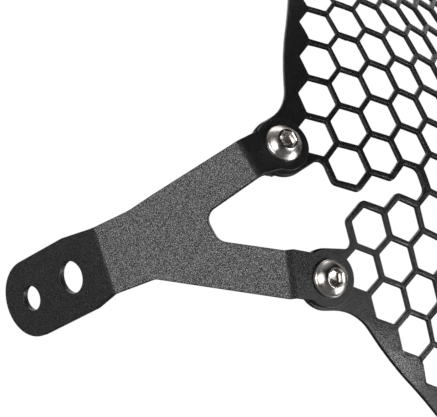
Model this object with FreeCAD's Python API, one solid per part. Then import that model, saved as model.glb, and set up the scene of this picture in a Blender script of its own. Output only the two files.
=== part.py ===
import FreeCAD, Part
import math
import os

# Motorcycle headlight guard: curved honeycomb screen, two folded Y brackets and their fasteners.
# Millimetres. +Z up, front of the guard towards -Y. "Left" is the side at -X.
# Everything is built about the middle of the sheet and then moved, so that the origin is
# midway between the big holes of the two bracket tabs.

V = FreeCAD.Vector
UP = V(0, 0, 1)

# Screen sheet, measured flat before it is bent
SHEET = 1.5             # thickness
SCREW_AT = 144.0        # sheet length from the centre to the bracket screws
WING = 20.0             # flat length between the screws and the side curve
WRAP_LENGTH = 60.0      # length of each side curve
WRAP_RADIUS = 125.0     # plan radius of each side curve
CREASE_ANGLE = 17.0     # degrees between the upper and lower half
CREASE_HALF = 6.0       # half height of the rounded crease
FLAT_TO = 30.0          # height where the sheet starts to curve back
LEAN_RADIUS = 220.0     # side radius of the upper and lower parts
PINCH = 0.046           # how the ears beside the side notches lean together
PINCH_LENGTH = 45.0     # length of sheet that leans so

# Honeycomb
PITCH = 12.0            # hole centre to hole centre
HOLE_AF = 10.4          # across the flats
ROW = PITCH * math.sqrt(3) / 2
ROWS = 7                # rows above and below the middle one
EAR_ROW = 2             # row that is level with the screws
# First hole of row 0 to row 7, in pitches from the screw line
FIRST_CELL = [4.0, 1.5, 2.0, 1.5, 2.0, 2.5, 3.0, 4.5]

# Screen outline
BORDER = 9.7            # hole centres to the edge
SHOULDER_BORDER = 8.8
SIDE_ANGLE = 68.0       # slope of the side edge just above its ear
SHOULDER_ANGLE = 55.0   # slope of the side edge near the top
SIDE_R = 90.0           # curve of the side edge between the two
CORNER_R = 25.0
EAR_R = 8.3             # round ear about each screw
EAR_ANGLE = 14.0        # slope of the edge where it leaves the ear
EAR_BLEND = 13.0
NOTCH_WEB = 1.8         # web left round the cells beside a notch
NOTCH_TIP_R = 2.0
NOTCH_VALLEY_R = 0.8
NOTCH_END = 40.2        # deep end of a notch, from the screw line
NOTCH_END_R = 2.6

# Brackets, 2 mm sheet with a vertical side plate
PLATE = 2.0
BEND_R = 1.6            # inside radius of every bend
SIDE_TURN = 18.5        # degrees that the side plate turns outwards of straight back
BEND_REACH = 11.5       # screw to the fold of its arm
LOBE_R = 7.7
LOBE_NECK = 6.6         # half width of an arm where it meets its lobe
UPPER_ARM = (12.1, 23.1)    # heights of the two edges at the fold
LOWER_ARM = (-21.3, -8.7)
# Side plate corners as (back, up, corner radius), back from the folds of the arms at screw height
PLATE_TOP = [(28.9, 17.5, 20.0), (35.9, 15.9, 20.0)]
CROTCH = [(16.6, 7.6, 3.2), (15.3, -0.1, 4.2)]
PLATE_BOTTOM = [(35.2, -3.9, 4.0)]
TAB_FOLD = 47.3         # how far back the tab is folded
TAB_EDGES = (-4.0, 15.0)
TAB_TURN = 26.0         # degrees inwards
TAB_HALF = 11.0         # half width and end radius
TAB_SHOULDERS = (9.0, 12.5)     # fold to full width, lower and upper edge
TAB_SHOULDER_R = 8.0
TAB_SMALL = 32.0        # fold to small hole
TAB_BIG = 14.0          # fold to big hole
TAB_RISE = 4.3          # height of the small hole
TAB_SLOPE = 0.043       # fall of the tab's centre line
SMALL_HOLE = 7.0
BIG_HOLE = 9.0

# Fasteners, M6
BOLT_D = 6.0
BOLT_L = 12.0
BOLT_HOLE = 6.6
HEAD_D = 10.5
HEAD_H = 3.3
HEAD_RIM = 0.6
HEAD_FLAT_R = 2.6
HEX_KEY = 4.0
KEY_DEPTH = 2.1
KEY_ANGLE = 10.0        # how far a tightened head or nut has turned
BOLT_CHAMFER = 0.7
WASHER_D = 12.0
WASHER_T = 1.2
NUT_AF = 10.0
NUT_H = 4.6
COLLAR_D = 9.4
COLLAR_H = 1.4
RING_R = 3.9            # outside radius of the plastic locking ring
RING_H = 1.9
LIP = 0.35
NUT_SLOPE = 0.55        # rise of the chamfer on the nut's corners

FLAT_HALF = SCREW_AT - WING - WRAP_LENGTH
PINCH_FROM = SCREW_AT - PINCH_LENGTH
END_TURN = WRAP_LENGTH / WRAP_RADIUS
LEAN = math.radians(CREASE_ANGLE / 2)
CREASE_R = CREASE_HALF / LEAN


def sign(value):
    return -1.0 if value < 0 else 1.0


def pinched(s, y):
    return y - sign(y) * PINCH * max(abs(s) - PINCH_FROM, 0) * (0 if y == 0 else 1)


def frame(s, y):
    """Point on the middle of the sheet for a flat position, with its across, up and outward directions."""
    turn = min(max(abs(s) - FLAT_HALF, 0) / WRAP_RADIUS, END_TURN)
    straight = max(abs(s) - FLAT_HALF - WRAP_LENGTH, 0)
    x = min(abs(s), FLAT_HALF) + WRAP_RADIUS * math.sin(turn) + straight * math.cos(turn)
    back = WRAP_RADIUS * (1 - math.cos(turn)) + straight * math.sin(turn)
    face = V(sign(s) * math.sin(turn), -math.cos(turn), 0)
    across = V(math.cos(turn), sign(s) * math.sin(turn), 0)
    h = abs(y)
    lean = min(h, CREASE_HALF) / CREASE_R
    height = CREASE_R * math.sin(lean)
    depth = CREASE_R * (1 - math.cos(lean))
    flat = min(max(h - CREASE_HALF, 0), FLAT_TO - CREASE_HALF)
    height += flat * math.cos(lean)
    depth += flat * math.sin(lean)
    far = max(h - FLAT_TO, 0) / LEAN_RADIUS
    height += LEAN_RADIUS * (math.sin(lean + far) - math.sin(lean))
    depth += LEAN_RADIUS * (math.cos(lean) - math.cos(lean + far))
    lean += far
    point = V(sign(s) * x, back, 0) - face * depth + UP * (sign(y) * height)
    out = face * math.cos(lean) + UP * (sign(y) * math.sin(lean))
    rise = UP * math.cos(lean) - face * (sign(y) * math.sin(lean))
    return point, across, rise, out


def on_sheet(s, y, lift):
    point, across, rise, out = frame(s, y)
    return point + out * lift


def sheet_section():
    """Side view of the sheet as a face in the centre plane."""
    half = SHEET / 2
    end = ROWS * ROW + 2 * BORDER
    stops = [-end, -FLAT_TO, -CREASE_HALF, CREASE_HALF, FLAT_TO, end]
    edges = []
    for lift in (half, -half):
        for low, high in zip(stops, stops[1:]):
            a = on_sheet(0, low, lift)
            m = on_sheet(0, (low + high) / 2, lift)
            b = on_sheet(0, high, lift)
            curved = low < -FLAT_TO or high > FLAT_TO or low == -CREASE_HALF
            edges.append(Part.Arc(a, m, b).toShape() if curved else Part.makeLine(a, b))
    for y in (-end, end):
        edges.append(Part.makeLine(on_sheet(0, y, half), on_sheet(0, y, -half)))
    return Part.Face(Part.Wire(Part.__sortEdges__(edges)))


def sheet_blank():
    """Bent sheet without its outline or holes: flat middle, a curve to each side and a flat wing."""
    section = sheet_section()
    turn = math.degrees(END_TURN)
    middle = section.copy()
    middle.translate(V(-FLAT_HALF, 0, 0))
    more = []
    for side in (-1, 1):
        end = section.copy()
        end.translate(V(side * FLAT_HALF, 0, 0))
        axis = V(side * FLAT_HALF, WRAP_RADIUS, 0)
        more.append(end.revolve(axis, UP * side, turn))
        end.rotate(axis, UP * side, turn)
        across = frame(side * SCREW_AT, 0)[1]
        more.append(end.extrude(across * (side * (WING + 2 * EAR_R))))
    return middle.extrude(V(2 * FLAT_HALF, 0, 0)).fuse(more)


def rounded(points):
    """Line and arc pieces of an open path; each point is (x, y, radius) and the ends have no radius."""
    pieces = []
    last = points[0][:2]
    for before, here, after in zip(points, points[1:], points[2:]):
        ax, ay = before[0] - here[0], before[1] - here[1]
        bx, by = after[0] - here[0], after[1] - here[1]
        la, lb = math.hypot(ax, ay), math.hypot(bx, by)
        ax, ay, bx, by = ax / la, ay / la, bx / lb, by / lb
        half = math.acos(max(-1.0, min(1.0, ax * bx + ay * by))) / 2
        cut = here[2] / math.tan(half)
        mx, my = ax + bx, ay + by
        lm = math.hypot(mx, my)
        reach = here[2] / math.sin(half)
        centre = (here[0] + mx / lm * reach, here[1] + my / lm * reach)
        mid = (centre[0] - mx / lm * here[2], centre[1] - my / lm * here[2])
        a = (here[0] + ax * cut, here[1] + ay * cut)
        b = (here[0] + bx * cut, here[1] + by * cut)
        pieces.append([last, a])
        pieces.append([a, mid, b])
        last = b
    pieces.append([last, points[-1][:2]])
    return [piece for piece in pieces if math.dist(piece[0], piece[-1]) > 1e-6]


def meet(p, a, q, b):
    """Crossing of two lines given by a point and a direction in degrees."""
    ux, uy = math.cos(math.radians(a)), math.sin(math.radians(a))
    vx, vy = math.cos(math.radians(b)), math.sin(math.radians(b))
    t = ((q[0] - p[0]) * vy - (q[1] - p[1]) * vx) / (ux * vy - uy * vx)
    return (p[0] + ux * t, p[1] + uy * t)


def beside(p, angle, gap):
    """Point at a gap square to the left of a direction."""
    return (p[0] - gap * math.sin(math.radians(angle)), p[1] + gap * math.cos(math.radians(angle)))


def ear_level():
    return pinched(SCREW_AT, EAR_ROW * ROW)


def cell(row, column):
    """Flat centre of a cell beside the notch, from the screw line, after the lean of the ear."""
    x = column * PITCH
    return (x, pinched(SCREW_AT - x, row * ROW))


def upper_outline():
    """Upper half of the left outline as flat pieces, x from the screw line and y from the middle row."""
    screw_y = ear_level()
    side = beside(cell(EAR_ROW + 1, FIRST_CELL[EAR_ROW + 1]), SIDE_ANGLE, BORDER)
    shoulder = beside(cell(ROWS - 1, FIRST_CELL[ROWS - 1]), SHOULDER_ANGLE, SHOULDER_BORDER)
    top = (SCREW_AT, ROWS * ROW + BORDER)
    ear_top = beside((0, screw_y), EAR_ANGLE, EAR_R)
    corner_1 = meet(top, 0, shoulder, SHOULDER_ANGLE)
    corner_2 = meet(shoulder, SHOULDER_ANGLE, side, SIDE_ANGLE)
    corner_3 = meet(side, SIDE_ANGLE, ear_top, EAR_ANGLE)
    path = rounded([top, (*corner_1, CORNER_R), (*corner_2, SIDE_R), (*corner_3, EAR_BLEND), ear_top])

    reach = (HOLE_AF / 2 + NOTCH_WEB) / math.cos(math.radians(30))
    cells = [cell(1, 1.5), cell(1, 2.5), cell(1, 3.5)]
    wall_x = cells[0][0] - HOLE_AF / 2 - NOTCH_WEB
    inner = (wall_x, cells[0][1] + reach / 2)
    angle = math.atan2(inner[1] - screw_y, inner[0])
    angle -= math.acos(EAR_R / math.hypot(inner[0], inner[1] - screw_y))
    leave = (EAR_R * math.cos(angle), screw_y + EAR_R * math.sin(angle))
    path.append([ear_top, (-EAR_R, screw_y), leave])

    corners = [leave, (*inner, NOTCH_TIP_R), (wall_x, cells[0][1] - reach / 2, NOTCH_TIP_R)]
    for here, after in zip(cells, cells[1:]):
        bottom = (here[0], here[1] - reach)
        corners.append((*bottom, NOTCH_TIP_R))
        corners.append((*meet(bottom, 30, (after[0], after[1] - reach), -30), NOTCH_VALLEY_R))
    last = (cells[-1][0], cells[-1][1] - reach)
    corners.append((*meet((NOTCH_END, 0), 90, last, -30), NOTCH_END_R))
    corners.append((NOTCH_END, 0))
    return path + rounded(corners)


def arc_points(piece):
    """Evenly spaced flat points along a line or arc piece."""
    if len(piece) == 2:
        count = max(3, int(math.dist(*piece) / 4) + 1)
        (ax, ay), (bx, by) = piece
        return [(ax + (bx - ax) * k / count, ay + (by - ay) * k / count) for k in range(count + 1)]
    a, m, b = [V(x, y, 0) for x, y in piece]
    edge = Part.Arc(a, m, b).toShape()
    count = max(4, int(edge.Length / 2) + 1)
    return [(point.x, point.y) for point in edge.discretize(count + 1)]


def outline_wall():
    """Wall through the sheet that follows the whole outline."""
    wall = []
    for piece in upper_outline():
        points = arc_points(piece)
        for side in (-1, 1):
            for half in (-1, 1):
                edges = []
                for lift in (-2 * SHEET, 2 * SHEET):
                    curve = Part.BSplineCurve()
                    curve.interpolate([on_sheet(side * (SCREW_AT - x), half * y, lift) for x, y in points])
                    edges.append(curve.toShape())
                wall.append(Part.makeRuledSurface(*edges))
    return wall


def hole_cutter(s, y):
    """Six-sided cutter square to the sheet, sheared with the lean of the ears."""
    centre_y = pinched(s, y)
    point, across, rise, out = frame(s, centre_y)
    corner = HOLE_AF / math.sqrt(3)
    points = []
    for k in range(6):
        angle = math.radians(30 + 60 * k)
        dx, dy = corner * math.cos(angle), corner * math.sin(angle)
        drop = PINCH * (max(abs(s + dx) - PINCH_FROM, 0) - max(abs(s) - PINCH_FROM, 0)) * sign(y)
        dy -= drop if y else 0
        points.append(point + across * dx + rise * dy - out * (2 * SHEET))
    return Part.Face(Part.makePolygon(points + points[:1])).extrude(out * (4 * SHEET))


def hole_places():
    places = []
    for row in range(-ROWS, ROWS + 1):
        x = FIRST_CELL[abs(row)] * PITCH
        while x < 2 * SCREW_AT - FIRST_CELL[abs(row)] * PITCH + 1:
            places.append((x - SCREW_AT, row * ROW))
            x += PITCH
    return places


def screws():
    """The four bracket screws as (side name, level name, side, half)."""
    sides = (("left", -1), ("right", 1))
    levels = (("upper", 1), ("lower", -1))
    return [(name, level, side, half) for name, side in sides for level, half in levels]


def screw_frame(side, half):
    return frame(side * SCREW_AT, half * ear_level())


def rod(side, half, radius, low, high):
    """Cylinder along a screw's axis, measured outwards from the middle of the sheet."""
    point, across, rise, out = screw_frame(side, half)
    return Part.makeCylinder(radius, high - low, point + out * low, out)


def screen():
    blank = sheet_blank()
    pieces = blank.generalFuse(outline_wall())[0].Solids
    middle = on_sheet(0, 0, 0)
    sheet = [piece for piece in pieces if piece.isInside(middle, 0.01, True)][0]
    cutters = [hole_cutter(s, y) for s, y in hole_places()]
    for _, _, side, half in screws():
        cutters.append(rod(side, half, BOLT_HOLE / 2, -2 * SHEET, 2 * SHEET))
        ear = rod(side, half, EAR_R, -4 * SHEET, 4 * SHEET)
        s = side * (SCREW_AT - PITCH)
        cutters.append(hole_cutter(s, half * EAR_ROW * ROW).cut(ear))
    return sheet.cut(Part.makeCompound(cutters))


def side_plane():
    """Point that the left side plate's corners are measured from, and its directions back and outward."""
    turn = math.radians(SIDE_TURN)
    back = V(-math.sin(turn), math.cos(turn), 0)
    out = V(-math.cos(turn), -math.sin(turn), 0)
    point, across, rise, face = screw_frame(-1, 1)
    fold = point + face * (SHEET / 2 + PLATE) - across * BEND_REACH
    return fold, back, out


def fold_line(half):
    """Point and upward direction of the fold between the side plate and an arm, on the outer faces."""
    fold, back, out = side_plane()
    face = screw_frame(-1, half)[3]
    point = V(fold.x, fold.y, half * fold.z)
    along = out.cross(face)
    along.normalize()
    if along.z < 0:
        along = along * -1
    return point, along


def at_height(point, along, z):
    return point + along * ((z - point.z) / along.z)


def bend(a, b, inward, out, angle):
    """Bend of the plate from the edge a to b on its outer face, and that edge at the far end."""
    axis = (b - a)
    axis.normalize()
    centre = a - out * (BEND_R + PLATE)
    end = Part.Face(Part.makePolygon([a, b, b - out * PLATE, a - out * PLATE, a]))
    if axis.cross(out).dot(inward) < 0:
        angle = -angle
    solid = end.revolve(centre, axis, angle)
    turn = FreeCAD.Rotation(axis, angle)
    far = [turn.multVec(p - centre) + centre for p in (a, b)]
    return solid, far


def to_plane(pieces, origin, ex, ey):
    """Edges of flat pieces placed in a plane."""
    edges = []
    for piece in pieces:
        points = [origin + ex * x + ey * y for x, y in piece]
        edges.append(Part.Arc(*points).toShape() if len(points) == 3 else Part.makeLine(*points))
    return edges


def arm(half, edge, inward, out):
    """Bend and lobe of one arm; edge is its two corners on the side plate."""
    point, across, rise, face = screw_frame(-1, half)
    angle = math.degrees(out.getAngle(face))
    solid, (low, high) = bend(edge[0], edge[1], inward, out, angle)
    centre = point + face * (SHEET / 2 + PLATE)
    corners = [low, high, centre + rise * LOBE_NECK, centre - rise * LOBE_NECK, low]
    strip = Part.Face(Part.makePolygon(corners)).extrude(face * -PLATE)
    lobe = Part.makeCylinder(LOBE_R, PLATE, centre, face * -1)
    return [solid, strip, lobe]


def tab_plane():
    """Middle of the tab's fold on the outer face, with the directions back and outward of the tab."""
    fold, back, out = side_plane()
    turn = math.radians(TAB_TURN)
    tab_back = back * math.cos(turn) - out * math.sin(turn)
    tab_out = out * math.cos(turn) + back * math.sin(turn)
    return V(fold.x, fold.y, 0) + back * TAB_FOLD, tab_back, tab_out


def tab_axis(x, gap=0):
    """Flat point on the tab's centre line at a distance from the fold, or square beside it."""
    tilt = math.atan(TAB_SLOPE)
    y = TAB_RISE - TAB_SLOPE * (x - TAB_SMALL)
    return (x + gap * math.sin(tilt), y + gap * math.cos(tilt))


def tab_hole(x):
    """Middle of a hole in the left tab."""
    fold, tab_back, tab_out = tab_plane()
    return fold + tab_back * x + UP * tab_axis(x)[1] - tab_out * (PLATE / 2)


def tab(low, high):
    """Flat tab from the two ends of its bend, with both holes."""
    fold, tab_back, tab_out = tab_plane()
    start = [((p - fold).dot(tab_back), p.z) for p in (low, high)]
    outline = [start]
    ends = []
    for corner, gap, at in zip(start, (-TAB_HALF, TAB_HALF), TAB_SHOULDERS):
        shoulder = (*tab_axis(at, gap), TAB_SHOULDER_R)
        ends.append(tab_axis(TAB_SMALL, gap))
        outline += rounded([corner, shoulder, ends[-1]])
    outline.append([ends[0], tab_axis(TAB_SMALL + TAB_HALF), ends[1]])
    edges = to_plane(outline, fold, tab_back, UP)
    plate = Part.Face(Part.Wire(Part.__sortEdges__(edges))).extrude(tab_out * -PLATE)
    for x, diameter in ((TAB_SMALL, SMALL_HOLE), (TAB_BIG, BIG_HOLE)):
        edge = tab_hole(x) + tab_out * PLATE
        plate = plate.cut(Part.makeCylinder(diameter / 2, 2 * PLATE, edge, tab_out * -1))
    return plate


def bracket():
    """Left bracket."""
    origin, back, out = side_plane()
    origin = V(origin.x, origin.y, 0)
    outer_r = BEND_R + PLATE

    def flat(p):
        return ((p - origin).dot(back), p.z)

    solids = []
    corners = {}
    for half, heights in ((1, UPPER_ARM), (-1, LOWER_ARM)):
        point, along = fold_line(half)
        face = screw_frame(-1, half)[3]
        cut = outer_r * math.tan(out.getAngle(face) / 2)
        square = along.cross(out)
        if square.dot(back) < 0:
            square = square * -1
        ends = [at_height(point, along, z) + square * cut for z in heights]
        corners[half] = ends
        solids += arm(half, ends, square * -1, out)

    tab_turn = math.radians(TAB_TURN)
    tab_cut = outer_r * math.tan(tab_turn / 2)
    tab_ends = [origin + back * (TAB_FOLD - tab_cut) + UP * z for z in TAB_EDGES]
    solid, (low, high) = bend(tab_ends[0], tab_ends[1], back, out, TAB_TURN)
    solids.append(solid)

    top = [flat(corners[1][1])] + PLATE_TOP + [flat(tab_ends[1])]
    bottom = [flat(tab_ends[0])] + PLATE_BOTTOM + [flat(corners[-1][0])]
    crotch = [flat(corners[-1][1])] + CROTCH[::-1] + [flat(corners[1][0])]
    pieces = rounded(top) + [[top[-1], bottom[0]]] + rounded(bottom)
    pieces += [[bottom[-1], crotch[0]]] + rounded(crotch) + [[crotch[-1], top[0]]]
    edges = to_plane(pieces, origin, back, UP)
    solids.append(Part.Face(Part.Wire(Part.__sortEdges__(edges))).extrude(out * -PLATE))

    solids.append(tab(low, high))

    whole = solids[0].fuse(solids[1:]).removeSplitter()
    for half in (1, -1):
        whole = whole.cut(rod(-1, half, BOLT_HOLE / 2, -1, SHEET + PLATE + 2))
    return whole


def prism(side, half, across_flats, low, high):
    """Six-sided prism along a screw's axis."""
    point, across, rise, out = screw_frame(side, half)
    corner = across_flats / math.sqrt(3)
    points = []
    for k in range(7):
        angle = math.radians(60 * k + KEY_ANGLE)
        points.append(point + out * low + (across * math.cos(angle) + rise * math.sin(angle)) * corner)
    return Part.Face(Part.makePolygon(points)).extrude(out * (high - low))


def ring_profile(side, half, points):
    """Solid turned about a screw's axis from (radius, height) points; three-point items are arcs."""
    point, across, rise, out = screw_frame(side, half)
    edges = []
    for piece in points:
        place = [point + across * r + out * h for r, h in piece]
        edges.append(Part.Arc(*place).toShape() if len(place) == 3 else Part.makeLine(*place))
    return Part.Face(Part.Wire(Part.__sortEdges__(edges))).revolve(point, out, 360)


def screw(side, half):
    """Button head screw with a hexagon socket."""
    base = SHEET / 2 + PLATE
    top = base + HEAD_H
    rim_r = HEAD_D / 2
    # The dome is part of a ball whose centre is on the axis
    below = (rim_r ** 2 + HEAD_RIM ** 2 - HEAD_FLAT_R ** 2 - HEAD_H ** 2) / (2 * (HEAD_H - HEAD_RIM))
    ball_r = math.hypot(rim_r, HEAD_RIM + below)
    middle_r = (rim_r + HEAD_FLAT_R) / 2
    crown = base - below + math.sqrt(ball_r ** 2 - middle_r ** 2)
    rim = (rim_r, base + HEAD_RIM)
    pieces = [[(0, base), (rim_r, base)], [(rim_r, base), rim], [rim, (middle_r, crown), (HEAD_FLAT_R, top)]]
    pieces += [[(HEAD_FLAT_R, top), (0, top)], [(0, top), (0, base)]]
    head = ring_profile(side, half, pieces)
    head = head.cut(prism(side, half, HEX_KEY, top - KEY_DEPTH, top + 1))
    tip = base - BOLT_L
    r = BOLT_D / 2
    pieces = [[(0, base), (r, base)], [(r, base), (r, tip + BOLT_CHAMFER)]]
    pieces += [[(r, tip + BOLT_CHAMFER), (r - BOLT_CHAMFER, tip)]]
    pieces += [[(r - BOLT_CHAMFER, tip), (0, tip)], [(0, tip), (0, base)]]
    return head.fuse(ring_profile(side, half, pieces)).removeSplitter()


def washer(side, half):
    high = -SHEET / 2
    low = high - WASHER_T
    return rod(side, half, WASHER_D / 2, low, high).cut(rod(side, half, BOLT_HOLE / 2, low, high))


def nut(side, half):
    """Lock nut with a round collar that holds the locking ring under a small lip."""
    high = -SHEET / 2 - WASHER_T
    low = high - NUT_H
    end = low - COLLAR_H
    wide = NUT_AF
    slope = low + (wide - NUT_AF / 2) * NUT_SLOPE
    pieces = [[(0, high), (wide, high)], [(wide, high), (wide, slope)], [(wide, slope), (NUT_AF / 2, low)]]
    pieces += [[(NUT_AF / 2, low), (0, low)], [(0, low), (0, high)]]
    body = prism(side, half, NUT_AF, low, high).common(ring_profile(side, half, pieces))
    body = body.fuse(rod(side, half, COLLAR_D / 2, end, low)).removeSplitter()
    body = body.cut(rod(side, half, BOLT_D / 2, end, high))
    body = body.cut(rod(side, half, RING_R, end + LIP, end + LIP + RING_H))
    return body.cut(rod(side, half, RING_R - LIP, end, end + LIP))


def lock_ring(side, half):
    low = -SHEET / 2 - WASHER_T - NUT_H - COLLAR_H + LIP
    high = low + RING_H
    return rod(side, half, RING_R, low, high).cut(rod(side, half, BOLT_D / 2, low, high))


def save(name, shape):
    solids = shape.Solids
    if len(solids) != 1 or not solids[0].isValid():
        raise RuntimeError(name + " is not one sound solid")
    centre = tab_hole(TAB_BIG)
    solids[0].translate(V(0, -centre.y, -centre.z))
    solids[0].exportStep("parts/" + name + ".step")


def main():
    os.makedirs("parts", exist_ok=True)
    save("screen", screen())
    left = bracket()
    save("bracket_left", left)
    save("bracket_right", left.mirror(V(0, 0, 0), V(1, 0, 0)))
    for side_name, level, side, half in screws():
        tail = side_name + "_" + level
        save("screw_" + tail, screw(side, half))
        save("washer_" + tail, washer(side, half))
        save("lock_nut_" + tail, nut(side, half))
        save("lock_ring_" + tail, lock_ring(side, half))


main()
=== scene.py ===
import bmesh
import bpy
import math
import numpy as np
from mathutils import Matrix, Quaternion, Vector


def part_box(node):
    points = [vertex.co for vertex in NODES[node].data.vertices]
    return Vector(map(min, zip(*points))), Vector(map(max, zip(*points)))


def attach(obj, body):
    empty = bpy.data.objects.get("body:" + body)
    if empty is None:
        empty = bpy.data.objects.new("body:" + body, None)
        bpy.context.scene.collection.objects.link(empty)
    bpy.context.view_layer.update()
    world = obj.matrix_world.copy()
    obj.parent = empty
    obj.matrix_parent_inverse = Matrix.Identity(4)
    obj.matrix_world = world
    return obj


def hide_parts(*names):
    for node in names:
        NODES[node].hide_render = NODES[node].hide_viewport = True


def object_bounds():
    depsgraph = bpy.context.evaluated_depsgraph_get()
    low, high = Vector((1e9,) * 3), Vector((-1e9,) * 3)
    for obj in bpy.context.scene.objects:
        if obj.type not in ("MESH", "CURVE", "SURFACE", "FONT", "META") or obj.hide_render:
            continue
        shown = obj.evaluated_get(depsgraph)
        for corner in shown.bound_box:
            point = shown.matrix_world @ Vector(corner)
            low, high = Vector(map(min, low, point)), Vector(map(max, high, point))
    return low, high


bl_info = {
    "name": "Headlight guard",
    "version": (1, 0, 0),
    "blender": (4, 5, 0),
    "location": "3D View > Sidebar > Guard",
    "description": "Dresses the solids of a motorcycle headlight guard and lights them",
    "category": "Object",
}

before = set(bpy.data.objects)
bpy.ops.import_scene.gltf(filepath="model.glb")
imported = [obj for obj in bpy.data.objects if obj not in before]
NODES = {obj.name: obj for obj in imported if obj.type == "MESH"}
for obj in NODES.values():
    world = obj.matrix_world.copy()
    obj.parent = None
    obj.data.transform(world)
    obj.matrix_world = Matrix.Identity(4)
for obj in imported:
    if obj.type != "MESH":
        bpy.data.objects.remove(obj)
CAD_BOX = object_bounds()
MM = 0.001
BODY = "root"
CORNERS = [side + "_" + level for side in ("left", "right") for level in ("upper", "lower")]

# Powder coat: a fine grain over a coarse one, glossy on its bumps and faintly clouded

COAT_CONTRAST = 0.2
COAT_DEPTH = 0.18 * MM
SCREEN_BUMP = 0.9
BRACKET_BUMP = 1.0
FINE_SHARE = 0.9
COARSE_SHARE = 0.1
COARSE_SCALE = 0.5
GRAIN_NOISE = (0.36, 0.64)
GRAIN_ROUGHNESS = (0.41, 0.29)
BRIGHT_GAIN = 2.6
GLOSS_NOISE = (0.46, 0.64)
GLOSS_ROUGHNESS = 0.25
CLOUD_SCALE = 35.0
CLOUD_NOISE = (0.35, 0.65)
CLOUD_SHADES = (0.93, 1.07)

# Steel and nylon: small marks in height, and wider smears in colour and roughness

MARK_SCALE = 2600.0
SMEAR_SCALE = 420.0
SMEAR_COLOUR_NOISE = (0.3, 0.7)
SMEAR_SHADES = (0.86, 1.08)
SMEAR_ROUGH_NOISE = (0.35, 0.65)
SMEAR_ROUGHNESS = (0.75, 1.35)
STEEL_BUMP = 0.12
STEEL_DEPTH = 0.01 * MM
SCREW_ROUGHNESS = 0.25
SCREW_STRETCH = 0.55
NUT_ROUGHNESS = 0.26
NYLON_BUMP = 0.2
NYLON_DEPTH = 0.02 * MM
NYLON_ROUGHNESS = 0.42

# Rounding of the solids' edges

SAME_POINT = 0.002 * MM
SAME_FACE = math.radians(0.4)
CUT_EDGE = math.radians(35)
FLAT_WEIGHT = 90
SHEET_STEPS = 1
PLATE_STEPS = 2
FASTENER_STEPS = 2
FASTENER_EDGE = 0.12 * MM

# Button head screw

SCREW_STEPS = 72
SCREW_CREASE = math.radians(38)
POINT_SHARE = 0.2           # drill point at the socket's bottom, against the key size
POINT_DEPTH = 0.25 * MM
SOCKET_FOOT = 0.05 * MM
KEY_DEPTH = 2.1 * MM
KEY_CHAMFER = 0.22 * MM
HEAD_FLAT = 2.75 * MM       # radius of the flat round the socket
FLAT_LAND = 0.08 * MM
DOME_STEPS = 14
HEAD_RIM = 0.6 * MM         # height of the head's straight rim
RIM_LAND = 0.42 * MM
RIM_ROUND = 0.12 * MM
GROOVE = 0.1 * MM
SCREW_LENGTH = 12.0 * MM
SCREW_CHAMFER = 0.7 * MM
THREAD_SHOWN = 2.6 * MM
ROWS_PER_TURN = 6
THREAD_SHARE = 0.55         # depth of the thread against its pitch
UNDER_HEAD = 2.75 * MM      # middle of the sheet to the underside of the head
WASHER_MIDDLE = -1.35 * MM  # middle of the sheet to the middle of the washer

# Turn in degrees of each socket beyond the CAD's, as a spanner would leave it
TIGHTENED = {"left_upper": 26, "left_lower": 8, "right_upper": -15, "right_lower": 40}

# Stage: a dim room that is lighter overhead and behind the guard, with a white sweep

WHITE = (1, 1, 1, 1)
ROOM_STRENGTH = 0.01
OVERHEAD_FROM = (0.7, 0.95)
OVERHEAD_STRENGTH = 0.3
BACKDROP_FROM = (0.45, 0.85)
BACKDROP_STRENGTH = 0.2
MIRRORED_FROM = (0.3, 0.8)
FLOOR_REACH = 4.0
FLOOR_COLOUR = (0.2, 0.2, 0.2, 1)
FLOOR_ROUGHNESS = 0.9
FLOOR_STRENGTH = 0.93

# Each light: name, direction from the left bracket, distance, value with its power, size
LIT_POINT = Vector((-0.15, -0.03, 0))
LIGHTS = (
    ("side light", (-0.99, -0.07, 0.12), 1.1, "key_power", (0.5, 0.6)),
    ("front light", (0.0, -0.9, -0.5), 1.1, "front_power", (0.5, 0.35)),
    ("back light", (-0.66, 0.74, 0.12), 1.1, "back_power", (0.7, 0.5)),
    ("low light", (0.42, -0.42, -0.8), 0.56, "low_power", (0.4, 0.32)),
    ("top light", (0.3, 0.0, 1.0), 1.2, "top_power", (0.8, 0.5)),
)

# Camera as found from the honeycomb and the screws in the photograph
CAMERA_RIGHT = Vector((0.549196, -0.772381, -0.319079))
CAMERA_DOWN = Vector((-0.080389, 0.331215, -0.940124))
CAMERA_AHEAD = Vector((0.831818, 0.541963, 0.119811))
CAMERA_PLACE = Vector((-482.386, -261.184, -44.592)) * MM
FOCAL_PIXELS = 1500.0
FRAME_WIDTH = 437.0
NEAREST = 0.01


# Values that a user would change

class CoatValues(bpy.types.PropertyGroup):
    colour: bpy.props.FloatVectorProperty(
        name="Coat colour", description="Colour of the powder coat",
        default=(0.006, 0.006, 0.0062), subtype="COLOR", min=0, max=1)
    grain: bpy.props.FloatProperty(
        name="Grain size", description="Size of the coat's fine grain",
        default=0.23 * MM, unit="LENGTH", min=0)
    sheet_edge: bpy.props.FloatProperty(
        name="Screen edge", description="Rounding of the screen's cut edges",
        default=0.26 * MM, unit="LENGTH", min=0)
    plate_edge: bpy.props.FloatProperty(
        name="Bracket edge", description="Rounding of the brackets' cut edges",
        default=0.22 * MM, unit="LENGTH", min=0)


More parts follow.
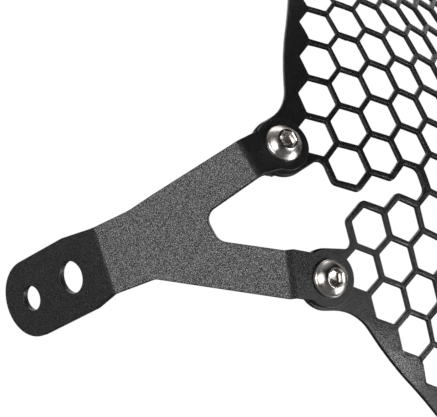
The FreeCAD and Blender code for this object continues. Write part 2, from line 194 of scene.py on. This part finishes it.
class FastenerValues(bpy.types.PropertyGroup):
    colour: bpy.props.FloatVectorProperty(
        name="Steel colour", description="Colour of the stainless fasteners",
        default=(0.60, 0.57, 0.545), subtype="COLOR", min=0, max=1)
    nylon: bpy.props.FloatVectorProperty(
        name="Ring colour", description="Colour of the nylon rings in the lock nuts",
        default=(0.72, 0.71, 0.66), subtype="COLOR", min=0, max=1)
    head: bpy.props.FloatProperty(
        name="Head diameter", description="Diameter of the button head",
        default=10.5 * MM, unit="LENGTH", min=0)
    head_height: bpy.props.FloatProperty(
        name="Head height", description="Height of the button head",
        default=3.3 * MM, unit="LENGTH", min=0)
    key: bpy.props.FloatProperty(
        name="Key size", description="Width across the flats of the socket",
        default=4.0 * MM, unit="LENGTH", min=0)
    thread: bpy.props.FloatProperty(
        name="Thread diameter", description="Outside diameter of the thread",
        default=6.0 * MM, unit="LENGTH", min=0)
    thread_pitch: bpy.props.FloatProperty(
        name="Thread pitch", description="Distance from one turn of the thread to the next",
        default=1.0 * MM, unit="LENGTH", min=0)


class StageValues(bpy.types.PropertyGroup):
    key_power: bpy.props.FloatProperty(
        name="Side light", description="Power of the large light at the guard's left",
        default=7.0, unit="POWER", min=0)
    front_power: bpy.props.FloatProperty(
        name="Front light", description="Power of the low light in front of the guard",
        default=6.8, unit="POWER", min=0)
    back_power: bpy.props.FloatProperty(
        name="Back light", description="Power of the weak light behind the left bracket",
        default=0.45, unit="POWER", min=0)
    low_power: bpy.props.FloatProperty(
        name="Low light", description="Power of the light below that catches the screw heads",
        default=1.3, unit="POWER", min=0)
    top_power: bpy.props.FloatProperty(
        name="Top light", description="Power of the light above",
        default=3.0, unit="POWER", min=0)
    drop: bpy.props.FloatProperty(
        name="Floor depth", description="Distance from the guard's lowest point to the floor",
        default=0.5, unit="LENGTH", min=0)


def values(name):
    return getattr(bpy.context.scene, name)


# Shader groups that more than one material uses

def new_group(name, inputs, outputs):
    """Shader node group with named sockets; each input is (name, kind, default)."""
    group = bpy.data.node_groups.new(name, "ShaderNodeTree")
    for label, kind, default in inputs:
        socket = group.interface.new_socket(label, in_out="INPUT", socket_type="NodeSocket" + kind)
        socket.default_value = default
    for label, kind in outputs:
        group.interface.new_socket(label, in_out="OUTPUT", socket_type="NodeSocket" + kind)
    return group, group.nodes.new("NodeGroupInput"), group.nodes.new("NodeGroupOutput")


def feed(tree, socket, value):
    """Sets a socket to a number, or links another socket to it."""
    if isinstance(value, (int, float)):
        socket.default_value = value
    else:
        tree.links.new(value, socket)


def math_node(tree, operation, a, b):
    """Result of a Math node whose inputs are sockets or numbers."""
    node = tree.nodes.new("ShaderNodeMath")
    node.operation = operation
    for socket, value in zip(node.inputs, (a, b)):
        feed(tree, socket, value)
    return node.outputs[0]


def noise(tree, scale, detail):
    """Noise in object coordinates; scale is a socket or a number."""
    place = tree.nodes.new("ShaderNodeTexCoord")
    node = tree.nodes.new("ShaderNodeTexNoise")
    node.inputs["Detail"].default_value = detail
    tree.links.new(place.outputs["Object"], node.inputs["Vector"])
    feed(tree, node.inputs["Scale"], scale)
    return node.outputs["Fac"]


def spread(tree, value, low, high, to_low, to_high):
    """Stretches a range of a value to another range."""
    node = tree.nodes.new("ShaderNodeMapRange")
    tree.links.new(value, node.inputs["Value"])
    for name, number in (("From Min", low), ("From Max", high), ("To Min", to_low), ("To Max", to_high)):
        feed(tree, node.inputs[name], number)
    return node.outputs["Result"]


def shaded(tree, colour, factor):
    """Colour made darker or lighter by a factor."""
    node = tree.nodes.new("ShaderNodeVectorMath")
    node.operation = "SCALE"
    tree.links.new(colour, node.inputs[0])
    tree.links.new(factor, node.inputs["Scale"])
    return node.outputs["Vector"]


def grain_group():
    """Powder coat grain: colour, roughness, height and gloss that change over the surface."""
    name = "powder grain"
    if name in bpy.data.node_groups:
        return bpy.data.node_groups[name]
    group, into, out = new_group(
        name,
        [("Colour", "Color", (0.02, 0.02, 0.02, 1)), ("Size", "Float", 0.0004), ("Contrast", "Float", 0.5)],
        [("Colour", "Color"), ("Roughness", "Float"), ("Height", "Float"), ("Gloss", "Float")])
    contrast = into.outputs["Contrast"]
    scale = math_node(group, "DIVIDE", 1.0, into.outputs["Size"])
    fine = noise(group, scale, 1.0)
    coarse = noise(group, math_node(group, "MULTIPLY", scale, COARSE_SCALE), 2.0)
    cloud = noise(group, CLOUD_SCALE, 1.0)
    fine = math_node(group, "MULTIPLY", fine, FINE_SHARE)
    coarse = math_node(group, "MULTIPLY", coarse, COARSE_SHARE)
    grain = math_node(group, "ADD", fine, coarse)
    dark = math_node(group, "SUBTRACT", 1.0, contrast)
    bright = math_node(group, "ADD", 1.0, math_node(group, "MULTIPLY", contrast, BRIGHT_GAIN))
    clouds = spread(group, cloud, *CLOUD_NOISE, *CLOUD_SHADES)
    factor = math_node(group, "MULTIPLY", spread(group, grain, *GRAIN_NOISE, dark, bright), clouds)
    roughness = spread(group, grain, *GRAIN_NOISE, *GRAIN_ROUGHNESS)
    gloss = spread(group, grain, *GLOSS_NOISE, 0.0, 1.0)
    group.links.new(shaded(group, into.outputs["Colour"], factor), out.inputs["Colour"])
    group.links.new(roughness, out.inputs["Roughness"])
    group.links.new(grain, out.inputs["Height"])
    group.links.new(gloss, out.inputs["Gloss"])
    return group


def turned_group():
    """Fine turned and handled metal: colour, roughness and height that change over the surface."""
    name = "turned steel"
    if name in bpy.data.node_groups:
        return bpy.data.node_groups[name]
    group, into, out = new_group(
        name,
        [("Colour", "Color", (0.6, 0.6, 0.6, 1)), ("Roughness", "Float", 0.2)],
        [("Colour", "Color"), ("Roughness", "Float"), ("Height", "Float")])
    marks = noise(group, MARK_SCALE, 2.0)
    smear = noise(group, SMEAR_SCALE, 3.0)
    factor = spread(group, smear, *SMEAR_COLOUR_NOISE, *SMEAR_SHADES)
    rough = spread(group, smear, *SMEAR_ROUGH_NOISE, *SMEAR_ROUGHNESS)
    rough = math_node(group, "MULTIPLY", rough, into.outputs["Roughness"])
    group.links.new(shaded(group, into.outputs["Colour"], factor), out.inputs["Colour"])
    group.links.new(rough, out.inputs["Roughness"])
    group.links.new(marks, out.inputs["Height"])
    return group


# Materials

def grouped_material(name, group, settings, metallic, bump, depth):
    """Principled material fed by a shader group."""
    material = bpy.data.materials.new(name)
    material.use_nodes = True
    tree = material.node_tree
    shader = tree.nodes["Principled BSDF"]
    shader.inputs["Metallic"].default_value = metallic
    node = tree.nodes.new("ShaderNodeGroup")
    node.node_tree = group
    for label, value in settings.items():
        node.inputs[label].default_value = value
    tree.links.new(node.outputs["Colour"], shader.inputs["Base Color"])
    tree.links.new(node.outputs["Roughness"], shader.inputs["Roughness"])
    height = tree.nodes.new("ShaderNodeBump")
    height.inputs["Strength"].default_value = bump
    height.inputs["Distance"].default_value = depth
    tree.links.new(node.outputs["Height"], height.inputs["Height"])
    tree.links.new(height.outputs["Normal"], shader.inputs["Normal"])
    return material


def coat_material(name, bump):
    """Black powder coat with a gloss on the tops of its grain."""
    coat = values("guard_coat")
    settings = {"Colour": (*coat.colour, 1), "Size": coat.grain, "Contrast": COAT_CONTRAST}
    material = grouped_material(name, grain_group(), settings, 0.0, bump, COAT_DEPTH)
    tree = material.node_tree
    shader = tree.nodes["Principled BSDF"]
    grains = next(node for node in tree.nodes if node.type == "GROUP")
    tree.links.new(grains.outputs["Gloss"], shader.inputs["Coat Weight"])
    shader.inputs["Coat Roughness"].default_value = GLOSS_ROUGHNESS
    return material


def steel_material(name, roughness):
    """Stainless steel with small marks and smears."""
    steel = values("guard_fasteners")
    settings = {"Colour": (*steel.colour, 1), "Roughness": roughness}
    return grouped_material(name, turned_group(), settings, 1.0, STEEL_BUMP, STEEL_DEPTH)


def turned_material(name, roughness):
    """Steel whose highlights fan out over the round turning marks of the screw heads."""
    material = steel_material(name, roughness)
    tree = material.node_tree
    shader = tree.nodes["Principled BSDF"]
    shader.inputs["Anisotropic"].default_value = SCREW_STRETCH
    tangent = tree.nodes.new("ShaderNodeTangent")
    tangent.direction_type = "UV_MAP"
    tangent.uv_map = "round"
    tree.links.new(tangent.outputs["Tangent"], shader.inputs["Tangent"])
    return material


def nylon_material():
    """Natural nylon of the lock nuts' rings."""
    steel = values("guard_fasteners")
    settings = {"Colour": (*steel.nylon, 1), "Roughness": NYLON_ROUGHNESS}
    return grouped_material("nylon", turned_group(), settings, 0.0, NYLON_BUMP, NYLON_DEPTH)


# Screen, brackets, washers and nuts

def add_piece(name, mesh, material, slot, *nodes):
    """Finished piece that rides on the guard and stands for its CAD nodes."""
    mesh.materials.clear()
    mesh.materials.append(material)
    piece = bpy.data.objects.new(name, mesh)
    bpy.context.collection.objects.link(piece)
    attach(piece, BODY)
    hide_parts(*nodes)
    return piece


def rounded_copy(node, name, material, slot, edge, steps):
    """Copy of a CAD node with whole flat faces and its cut edges rounded."""
    body = bmesh.new()
    body.from_mesh(NODES[node].data)
    bmesh.ops.remove_doubles(body, verts=body.verts, dist=SAME_POINT)
    bmesh.ops.dissolve_limit(body, angle_limit=SAME_FACE, verts=body.verts, edges=body.edges)
    mesh = bpy.data.meshes.new(name)
    body.to_mesh(mesh)
    body.free()
    piece = add_piece(name, mesh, material, slot, node)
    bevel = piece.modifiers.new("rounded edges", "BEVEL")
    bevel.width = edge
    bevel.segments = steps
    bevel.limit_method = "ANGLE"
    bevel.angle_limit = CUT_EDGE
    bevel.use_clamp_overlap = False
    bevel.harden_normals = False
    bevel.loop_slide = False
    mesh.shade_smooth()
    flat = piece.modifiers.new("flat faces stay flat", "WEIGHTED_NORMAL")
    flat.mode = "FACE_AREA"
    flat.weight = FLAT_WEIGHT
    flat.keep_sharp = False


# Screws

def disc_axis(node):
    """Centre and forward direction of a round flat CAD node."""
    low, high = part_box(node)
    normals = np.zeros((3, 3))
    for face in NODES[node].data.polygons:
        normals += face.area * np.outer(face.normal, face.normal)
    axis = Vector(np.linalg.eigh(normals)[1][:, 2])
    if axis.y >= 0:
        axis = -axis
    return (low + high) / 2, axis


def key_corner(node, centre, axis, key):
    """Direction from a screw's axis to a corner of its socket."""
    wanted = key / math.sqrt(3)
    offsets = [vertex.co - centre for vertex in NODES[node].data.vertices]
    across = [offset - axis * offset.dot(axis) for offset in offsets if offset.dot(axis) > 0]
    return min(across, key=lambda offset: abs(offset.length - wanted)).normalized()


def polar_loop(radius, height):
    """Loop of points about the Z axis; radius is a number or a function of the angle."""
    points = []
    for k in range(SCREW_STEPS):
        angle = math.tau * k / SCREW_STEPS
        r = radius(angle) if callable(radius) else radius
        points.append((r * math.cos(angle), r * math.sin(angle), height))
    return points


def hexagon(across_flats):
    """Radius of a hexagon with a corner at angle 0, as a function of the angle."""
    def radius(angle):
        return across_flats / 2 / math.cos(angle % (math.pi / 3) - math.pi / 6)
    return radius


def thread_turn(steel, z, tip):
    """Radius of the thread at a height, as a function of the angle."""
    shank = steel.thread / 2
    limit = min(shank, shank - SCREW_CHAMFER + (z - tip))

    def radius(angle):
        turn = (z / steel.thread_pitch - angle / math.tau) % 1
        return min(limit, shank - THREAD_SHARE * steel.thread_pitch * abs(2 * turn - 1))
    return radius


def loft(name, loops):
    """Closed mesh through loops of equal length, with a UV map that runs round and along."""
    steps = len(loops[0])
    points = [point for loop in loops for point in loop]
    points += [(0, 0, loops[0][0][2]), (0, 0, loops[-1][0][2])]
    first, last = len(points) - 2, len(points) - 1
    faces = []
    marks = []
    for row in range(len(loops) - 1):
        here, below = row * steps, (row + 1) * steps
        for k in range(steps):
            after = (k + 1) % steps
            faces.append((here + k, below + k, below + after, here + after))
            marks.append(((k, row), (k, row + 1), (k + 1, row + 1), (k + 1, row)))
    end = (len(loops) - 1) * steps
    for k in range(steps):
        after = (k + 1) % steps
        faces.append((first, k, after))
        marks.append(((k, -1), (k, 0), (k + 1, 0)))
        faces.append((last, end + after, end + k))
        marks.append(((k, len(loops)), (k + 1, len(loops) - 1), (k, len(loops) - 1)))
    mesh = bpy.data.meshes.new(name)
    mesh.from_pydata(points, [], faces)
    layer = mesh.uv_layers.new(name="round")
    corners = (corner for face in marks for corner in face)
    for place, (around, along) in zip(layer.data, corners):
        place.uv = (around / steps, along / len(loops))
    return mesh


def dome_loops(head, height):
    """Loops down the ball-shaped top of the head, from its flat past the groove to its rim."""
    rim = head / 2
    below = (rim ** 2 + HEAD_RIM ** 2 - HEAD_FLAT ** 2 - height ** 2) / (2 * (height - HEAD_RIM))
    ball = math.hypot(rim, HEAD_RIM + below)
    start = math.asin(HEAD_FLAT / ball)
    end = math.asin((rim - RIM_LAND) / ball)
    turns = [start + (end - start) * k / DOME_STEPS for k in range(DOME_STEPS + 1)]
    loops = [polar_loop(ball * math.sin(turn), ball * math.cos(turn) - below) for turn in turns]
    foot, _, level = loops[-1][0]
    loops.append(polar_loop(foot - GROOVE / 2, level - GROOVE))
    loops.append(polar_loop(foot + GROOVE / 2, level - 1.5 * GROOVE))
    loops.append(polar_loop(rim - RIM_ROUND, HEAD_RIM + 2 * RIM_ROUND))
    return loops


def screw_mesh(steel):
    """Button head screw along Z, from its socket to its tip; the head's underside is at 0."""
    key = hexagon(steel.key)
    wide_key = hexagon(steel.key + 2 * KEY_CHAMFER)
    top = steel.head_height
    floor = top - KEY_DEPTH
    rim = steel.head / 2
    shank = steel.thread / 2
    tip = -SCREW_LENGTH
    loops = [
        polar_loop(steel.key * POINT_SHARE, floor - POINT_DEPTH),
        polar_loop(key, floor),
        polar_loop(key, floor + SOCKET_FOOT),
        polar_loop(key, top - KEY_CHAMFER),
        polar_loop(wide_key, top),
        polar_loop(HEAD_FLAT - FLAT_LAND, top),
        *dome_loops(steel.head, top),
        polar_loop(rim, HEAD_RIM - RIM_ROUND / 2),
        polar_loop(rim, RIM_ROUND),
        polar_loop(rim - RIM_ROUND, 0),
        polar_loop(shank, 0),
        polar_loop(shank, tip + THREAD_SHOWN),
    ]
    rows = int(THREAD_SHOWN / steel.thread_pitch * ROWS_PER_TURN)
    for row in range(1, rows):
        z = tip + THREAD_SHOWN - THREAD_SHOWN * row / rows
        loops.append(polar_loop(thread_turn(steel, z, tip), z))
    loops.append(polar_loop(shank - SCREW_CHAMFER, tip))
    return loft("screw", loops)


def placing_tree():
    """Geometry nodes that set a copy of an object on each point, turned to two stored directions."""
    tree = bpy.data.node_groups.new("set on points", "GeometryNodeTree")
    inputs = (("Geometry", "Geometry"), ("Object", "Object"), ("Turn", "Float"), ("Finish", "Material"))
    for label, kind in inputs:
        tree.interface.new_socket(label, in_out="INPUT", socket_type="NodeSocket" + kind)
    tree.interface.new_socket("Geometry", in_out="OUTPUT", socket_type="NodeSocketGeometry")
    into = tree.nodes.new("NodeGroupInput")
    out = tree.nodes.new("NodeGroupOutput")
    shape = tree.nodes.new("GeometryNodeObjectInfo")
    align = tree.nodes.new("FunctionNodeAxesToRotation")
    align.primary_axis = "Z"
    align.secondary_axis = "X"
    for socket, attribute in zip(align.inputs, ("facing", "across")):
        stored = tree.nodes.new("GeometryNodeInputNamedAttribute")
        stored.data_type = "FLOAT_VECTOR"
        stored.inputs["Name"].default_value = attribute
        tree.links.new(stored.outputs["Attribute"], socket)
    place = tree.nodes.new("GeometryNodeInstanceOnPoints")
    turn = tree.nodes.new("ShaderNodeCombineXYZ")
    spin = tree.nodes.new("GeometryNodeRotateInstances")
    realize = tree.nodes.new("GeometryNodeRealizeInstances")
    finish = tree.nodes.new("GeometryNodeSetMaterial")
    links = tree.links
    links.new(into.outputs["Object"], shape.inputs["Object"])
    links.new(into.outputs["Geometry"], place.inputs["Points"])
    links.new(shape.outputs["Geometry"], place.inputs["Instance"])
    links.new(align.outputs["Rotation"], place.inputs["Rotation"])
    links.new(place.outputs["Instances"], spin.inputs["Instances"])
    links.new(into.outputs["Turn"], turn.inputs["Z"])
    links.new(turn.outputs["Vector"], spin.inputs["Rotation"])
    links.new(spin.outputs["Instances"], realize.inputs["Geometry"])
    links.new(realize.outputs["Geometry"], finish.inputs["Geometry"])
    links.new(into.outputs["Finish"], finish.inputs["Material"])
    links.new(finish.outputs["Geometry"], out.inputs["Geometry"])
    return tree


def placed_copies(name, shape, places, settings):
    """Plain mesh of copies of a shape; places are (point, facing, across) triples."""
    points = bpy.data.meshes.new(name + " points")
    points.from_pydata([place[0] for place in places], [], [])
    for number, attribute in ((1, "facing"), (2, "across")):
        stored = points.attributes.new(attribute, "FLOAT_VECTOR", "POINT")
        for k, place in enumerate(places):
            stored.data[k].vector = place[number]
    source = bpy.data.objects.new(name + " shape", shape)
    holder = bpy.data.objects.new(name + " points", points)
    for helper in (source, holder):
        bpy.context.collection.objects.link(helper)
    modifier = holder.modifiers.new("set on points", "NODES")
    modifier.node_group = placing_tree()
    settings = {"Object": source, **settings}
    for item in modifier.node_group.interface.items_tree:
        if item.in_out == "INPUT" and item.name in settings:
            modifier[item.identifier] = settings[item.name]
    graph = bpy.context.evaluated_depsgraph_get()
    mesh = bpy.data.meshes.new_from_object(holder.evaluated_get(graph))
    holder.modifiers.remove(modifier)
    for helper in (source, holder):
        bpy.data.objects.remove(helper)
    if len(mesh.polygons) < len(shape.polygons) * len(places):
        raise RuntimeError("the copies of " + name + " were not made")
    return mesh


# Stage

def seen_directly(tree, path):
    """Mask that is 1 where the camera looks, also through glass."""
    return math_node(tree, "MAXIMUM", path.outputs["Is Camera Ray"], path.outputs["Is Transmission Ray"])


def studio_world():
    """White background, with the dim room that the guard sees."""
    world = bpy.data.worlds.new("studio")
    world.use_nodes = True
    tree = world.node_tree
    tree.nodes.clear()
    path = tree.nodes.new("ShaderNodeLightPath")
    place = tree.nodes.new("ShaderNodeTexCoord")
    split = tree.nodes.new("ShaderNodeSeparateXYZ")
    tree.links.new(place.outputs["Generated"], split.inputs[0])
    ahead = tree.nodes.new("ShaderNodeVectorMath")
    ahead.operation = "DOT_PRODUCT"
    tree.links.new(place.outputs["Generated"], ahead.inputs[0])
    ahead.inputs[1].default_value = CAMERA_AHEAD
    behind = ahead.outputs["Value"]
    overhead = spread(tree, split.outputs["Z"], *OVERHEAD_FROM, ROOM_STRENGTH, OVERHEAD_STRENGTH)
    backdrop = spread(tree, behind, *BACKDROP_FROM, ROOM_STRENGTH, BACKDROP_STRENGTH)
    sweep = spread(tree, behind, *MIRRORED_FROM, 0.0, 1.0)
    mirrored = math_node(tree, "MULTIPLY", path.outputs["Is Glossy Ray"], sweep)
    room = math_node(tree, "MAXIMUM", math_node(tree, "MAXIMUM", overhead, backdrop), mirrored)
    strength = spread(tree, seen_directly(tree, path), 0.0, 1.0, room, 1.0)
    shade = tree.nodes.new("ShaderNodeBackground")
    out = tree.nodes.new("ShaderNodeOutputWorld")
    shade.inputs["Color"].default_value = WHITE
    tree.links.new(strength, shade.inputs["Strength"])
    tree.links.new(shade.outputs[0], out.inputs["Surface"])
    bpy.context.scene.world = world


def floor_material():
    """Floor that the camera sees as near white and that lights nothing."""
    material = bpy.data.materials.new("pale floor")
    material.use_nodes = True
    tree = material.node_tree
    shader = tree.nodes["Principled BSDF"]
    shader.inputs["Base Color"].default_value = FLOOR_COLOUR
    shader.inputs["Roughness"].default_value = FLOOR_ROUGHNESS
    shader.inputs["Emission Color"].default_value = WHITE
    seen = seen_directly(tree, tree.nodes.new("ShaderNodeLightPath"))
    glow = math_node(tree, "MULTIPLY", seen, FLOOR_STRENGTH)
    tree.links.new(glow, shader.inputs["Emission Strength"])
    return material


def add_floor(z):
    """Square floor at a height."""
    mesh = bpy.data.meshes.new("floor")
    square = ((-1, -1), (1, -1), (1, 1), (-1, 1))
    mesh.from_pydata([(x * FLOOR_REACH, y * FLOOR_REACH, z) for x, y in square], [], [(0, 1, 2, 3)])
    floor = bpy.data.objects.new("floor", mesh)
    floor.data.materials.append(floor_material())
    bpy.context.collection.objects.link(floor)


def soft_light(name, place, target, power, size):
    """Rectangular light that faces a point."""
    lamp = bpy.data.lights.new(name, "AREA")
    lamp.shape = "RECTANGLE"
    lamp.size, lamp.size_y = size
    lamp.energy = power
    light = bpy.data.objects.new(name, lamp)
    light.location = place
    light.rotation_euler = (target - place).to_track_quat("-Z", "Y").to_euler()
    bpy.context.collection.objects.link(light)


def add_camera():
    """Camera at the photograph's place."""
    data = bpy.data.cameras.new("camera")
    data.lens = FOCAL_PIXELS * data.sensor_width / FRAME_WIDTH
    data.clip_start = NEAREST
    camera = bpy.data.objects.new("camera", data)
    turn = Matrix((CAMERA_RIGHT, -CAMERA_DOWN, -CAMERA_AHEAD)).transposed().to_4x4()
    camera.matrix_world = Matrix.Translation(CAMERA_PLACE) @ turn
    bpy.context.collection.objects.link(camera)
    bpy.context.scene.camera = camera


# Operators

class GUARD_OT_screen(bpy.types.Operator):
    """Make the honeycomb screen with rounded cut edges"""
    bl_idname = "guard.screen"
    bl_label = "Screen"

    def execute(self, context):
        coat = coat_material("screen coat", SCREEN_BUMP)
        edge = values("guard_coat").sheet_edge
        rounded_copy("screen", "honeycomb_screen", coat, "black_coat", edge, SHEET_STEPS)
        return {"FINISHED"}


class GUARD_OT_brackets(bpy.types.Operator):
    """Make the two folded brackets with rounded cut edges"""
    bl_idname = "guard.brackets"
    bl_label = "Brackets"

    def execute(self, context):
        coat = coat_material("bracket coat", BRACKET_BUMP)
        edge = values("guard_coat").plate_edge
        for side in ("left", "right"):
            name = "folded_bracket_" + side
            rounded_copy("bracket_" + side, name, coat, "black_coat", edge, PLATE_STEPS)
        return {"FINISHED"}


class GUARD_OT_screws(bpy.types.Operator):
    """Make the four button head screws and set them in their holes"""
    bl_idname = "guard.screws"
    bl_label = "Screws"

    def execute(self, context):
        steel = turned_material("turned stainless", SCREW_ROUGHNESS)
        places = []
        for corner in CORNERS:
            centre, axis = disc_axis("washer_" + corner)
            across = key_corner("screw_" + corner, centre, axis, values("guard_fasteners").key)
            across.rotate(Quaternion(axis, math.radians(TIGHTENED[corner])))
            places.append((centre + axis * (UNDER_HEAD - WASHER_MIDDLE), axis, across))
        shape = screw_mesh(values("guard_fasteners"))
        shape.shade_smooth()
        shape.set_sharp_from_angle(angle=SCREW_CREASE)
        mesh = placed_copies("screws", shape, places, {"Turn": 0.0, "Finish": steel})
        add_piece("button_head_screws", mesh, steel, "stainless", *["screw_" + corner for corner in CORNERS])
        return {"FINISHED"}


class GUARD_OT_nuts(bpy.types.Operator):
    """Round the washers and lock nuts and give them and the nylon rings their finish"""
    bl_idname = "guard.nuts"
    bl_label = "Washers and nuts"

    def execute(self, context):
        steel = steel_material("pressed stainless", NUT_ROUGHNESS)
        nylon = nylon_material()
        for corner in CORNERS:
            for kind in ("washer_", "lock_nut_"):
                name = kind + corner
                rounded_copy(name, "rounded_" + name, steel, "stainless", FASTENER_EDGE, FASTENER_STEPS)
            ring = NODES["lock_ring_" + corner].data
            ring.materials.clear()
            ring.materials.append(nylon)
        return {"FINISHED"}


class GUARD_OT_stage(bpy.types.Operator):
    """Set up the floor, lights, world and camera"""
    bl_idname = "guard.stage"
    bl_label = "Stage"

    def execute(self, context):
        stage = values("guard_stage")
        add_floor(CAD_BOX[0].z - stage.drop)
        for name, toward, away, power, size in LIGHTS:
            place = LIT_POINT + Vector(toward) * away
            soft_light(name, place, LIT_POINT, getattr(stage, power), size)
        studio_world()
        add_camera()
        context.scene.view_settings.view_transform = "Standard"
        return {"FINISHED"}


class GUARD_PT_panel(bpy.types.Panel):
    """Values and buttons for each group of pieces"""
    bl_idname = "GUARD_PT_panel"
    bl_label = "Headlight guard"
    bl_space_type = "VIEW_3D"
    bl_region_type = "UI"
    bl_category = "Guard"

    def draw(self, context):
        for group in GROUPS:
            settings = getattr(context.scene, group)
            for label in type(settings).__annotations__:
                self.layout.prop(settings, label)
        for operator in OPERATORS:
            self.layout.operator(operator.bl_idname)


GROUPS = {"guard_coat": CoatValues, "guard_fasteners": FastenerValues, "guard_stage": StageValues}
OPERATORS = (GUARD_OT_screen, GUARD_OT_brackets, GUARD_OT_screws, GUARD_OT_nuts, GUARD_OT_stage)


def register():
    for name, group in GROUPS.items():
        bpy.utils.register_class(group)
        setattr(bpy.types.Scene, name, bpy.props.PointerProperty(type=group))
    for operator in OPERATORS:
        bpy.utils.register_class(operator)
    bpy.utils.register_class(GUARD_PT_panel)


def unregister():
    bpy.utils.unregister_class(GUARD_PT_panel)
    for operator in reversed(OPERATORS):
        bpy.utils.unregister_class(operator)
    for name, group in GROUPS.items():
        delattr(bpy.types.Scene, name)
        bpy.utils.unregister_class(group)


def main():
    register()
    bpy.ops.guard.screen()
    bpy.ops.guard.brackets()
    bpy.ops.guard.screws()
    bpy.ops.guard.nuts()
    bpy.ops.guard.stage()


if __name__ == "__main__":
    main()
